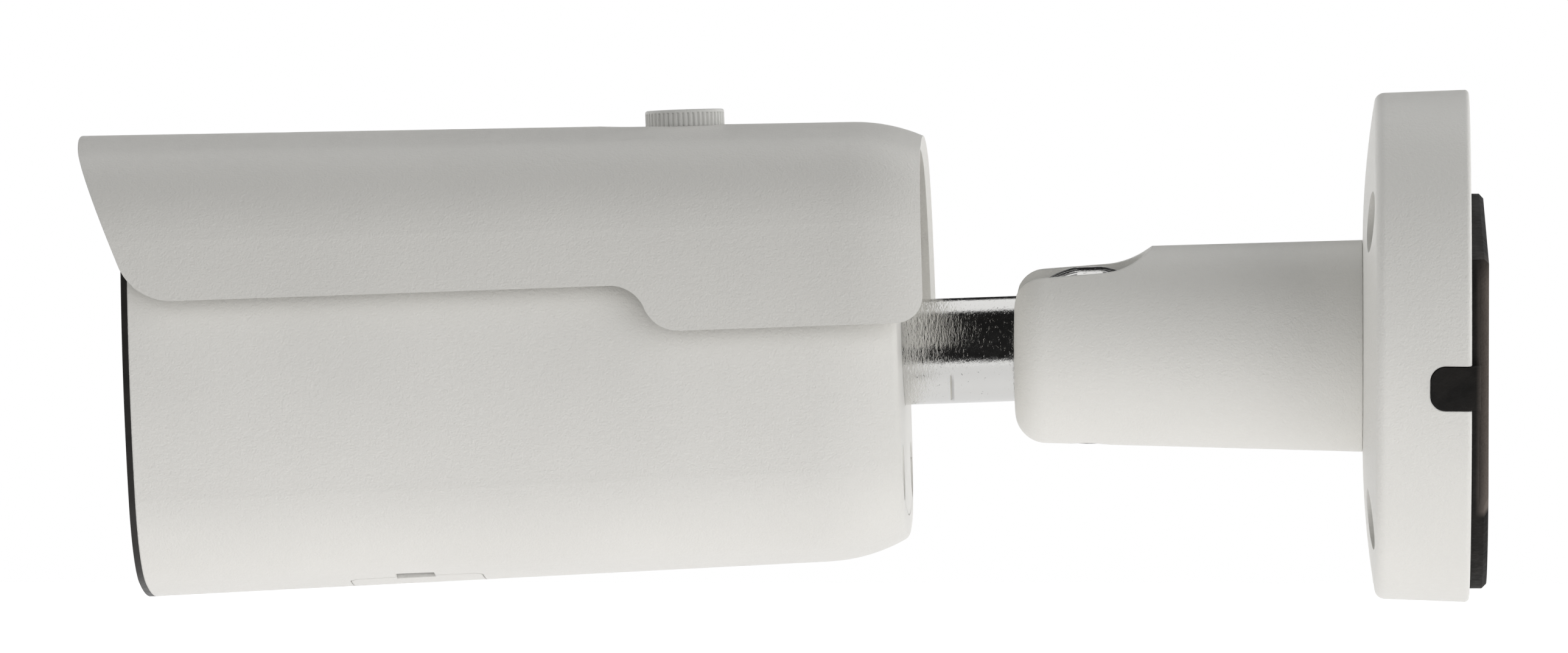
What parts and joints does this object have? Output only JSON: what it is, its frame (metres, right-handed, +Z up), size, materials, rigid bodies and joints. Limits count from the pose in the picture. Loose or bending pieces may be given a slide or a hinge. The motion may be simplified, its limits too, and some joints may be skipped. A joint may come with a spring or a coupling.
{
  "type": "security camera",
  "caption": "Wall-mounted bullet security camera: tapered housing under a sliding sun visor, on a plated ball arm in a pan-and-tilt bracket with a round base.",
  "frame": {"origin": "middle of the wall plane, on the base's axis, at the back of the wall gasket", "axes": "+X into the wall along the base's axis, +Z up, lens towards -X"},
  "size_m": [0.247, 0.09, 0.09],
  "materials": {
    "shell_paint": "fine textured off-white powder coat",
    "visor_paint": "fine textured off-white powder coat",
    "knob_paint": "off-white powder coat",
    "bracket_paint": "fine textured off-white powder coat",
    "arm_chrome": "bright plating over a slightly rough casting",
    "plated_steel": "zinc plated steel",
    "gasket_rubber": "dark matt foam rubber",
    "seal_rubber": "matt black rubber",
    "bezel_plastic": "satin black",
    "mask_plastic": "matt black",
    "inner_plastic": "black moulded plastic",
    "lens_metal": "black anodised",
    "nylon": "natural nylon",
    "window_glass": "clear flat window",
    "lens_glass": "coated lens",
    "filter_glass": "coated filter",
    "emitter_resin": "dark clear resin",
    "circuit_board": "green solder mask",
    "chip": "black package",
    "chassis_metal": "bare pressed sheet"
  },
  "bodies": {
    "base": {"base_plate": "bracket_paint", "wall_gasket": "gasket_rubber", "friction_washer": "nylon"},
    "sleeve": {"pan_sleeve": "bracket_paint", "sleeve_nut": "plated_steel", "ball_retainer": "nylon"},
    "lock_screw": {"lock_screw": "plated_steel"},
    "arm": {"ball_arm": "arm_chrome", "arm_nut": "plated_steel"},
    "head": {"access_cover": "shell_paint", "access_cover_screws": "plated_steel", "access_cover_seal": "seal_rubber", "arm_seal": "seal_rubber", "board_screws": "plated_steel", "board_spacers": "plated_steel", "card_board": "circuit_board", "card_board_posts": "plated_steel", "card_socket": "plated_steel", "chassis": "chassis_metal", "face_mask": "mask_plastic", "front_bezel": "bezel_plastic", "front_seal": "seal_rubber", "front_window": "window_glass", "housing": "shell_paint", "image_sensor": "chip", "ir_board": "circuit_board", "ir_emitters": "emitter_resin", "lens_barrel": "lens_metal", "lens_glass": "lens_glass", "lens_hood": "seal_rubber", "lens_mount": "inner_plastic", "light_sensor": "emitter_resin", "main_board": "circuit_board", "processor": "chip", "rear_cover": "shell_paint", "rear_cover_screws": "plated_steel", "rear_cover_seal": "seal_rubber", "reset_switch": "inner_plastic", "sensor_board": "circuit_board"},
    "filter": {"filter_carriage": "inner_plastic", "filter_glasses": "filter_glass"},
    "reset_button": {"reset_button": "inner_plastic"},
    "visor": {"sun_visor": "visor_paint"},
    "thumbscrew": {"thumbscrew": "knob_paint"}
  },
  "joints": [
    {"name": "pan", "type": "hinge", "parent": "base", "child": "sleeve", "pos_m": [0, 0, 0], "axis": [1, 0, 0], "range_deg": [-180, 180]},
    {"name": "tilt", "type": "hinge", "parent": "sleeve", "child": "arm", "pos_m": [-0.0694, 0, 0], "axis": [0, 0.9965, 0.0837], "range_deg": [-6, 90]},
    {"name": "roll", "type": "hinge", "parent": "arm", "child": "head", "pos_m": [-0.0694, 0, 0], "axis": [0.9994, 0, 0.0349], "range_deg": [-180, 180]},
    {"name": "lock_screw_turn", "type": "hinge", "parent": "sleeve", "child": "lock_screw", "pos_m": [-0.0694, 0, 0], "axis": [0, -0.0837, 0.9965], "continuous": true},
    {"name": "visor_slide", "type": "slide", "parent": "head", "child": "visor", "axis": [0.9994, 0, 0.0349], "range_m": [0, 0.008]},
    {"name": "thumbscrew_turn", "type": "hinge", "parent": "head", "child": "thumbscrew", "pos_m": [-0.14079, 0, 0.03853], "axis": [-0.0349, 0, 0.9994], "continuous": true},
    {"name": "filter_slide", "type": "slide", "parent": "head", "child": "filter", "axis": [0, 1, 0], "range_m": [0, 0.008]},
    {"name": "reset_press", "type": "slide", "parent": "head", "child": "reset_button", "axis": [-0.0349, 0, 0.9994], "range_m": [0, 0.00025], "stiffness_N_per_m": 1500, "springref_m": -0.0001}
  ]
}
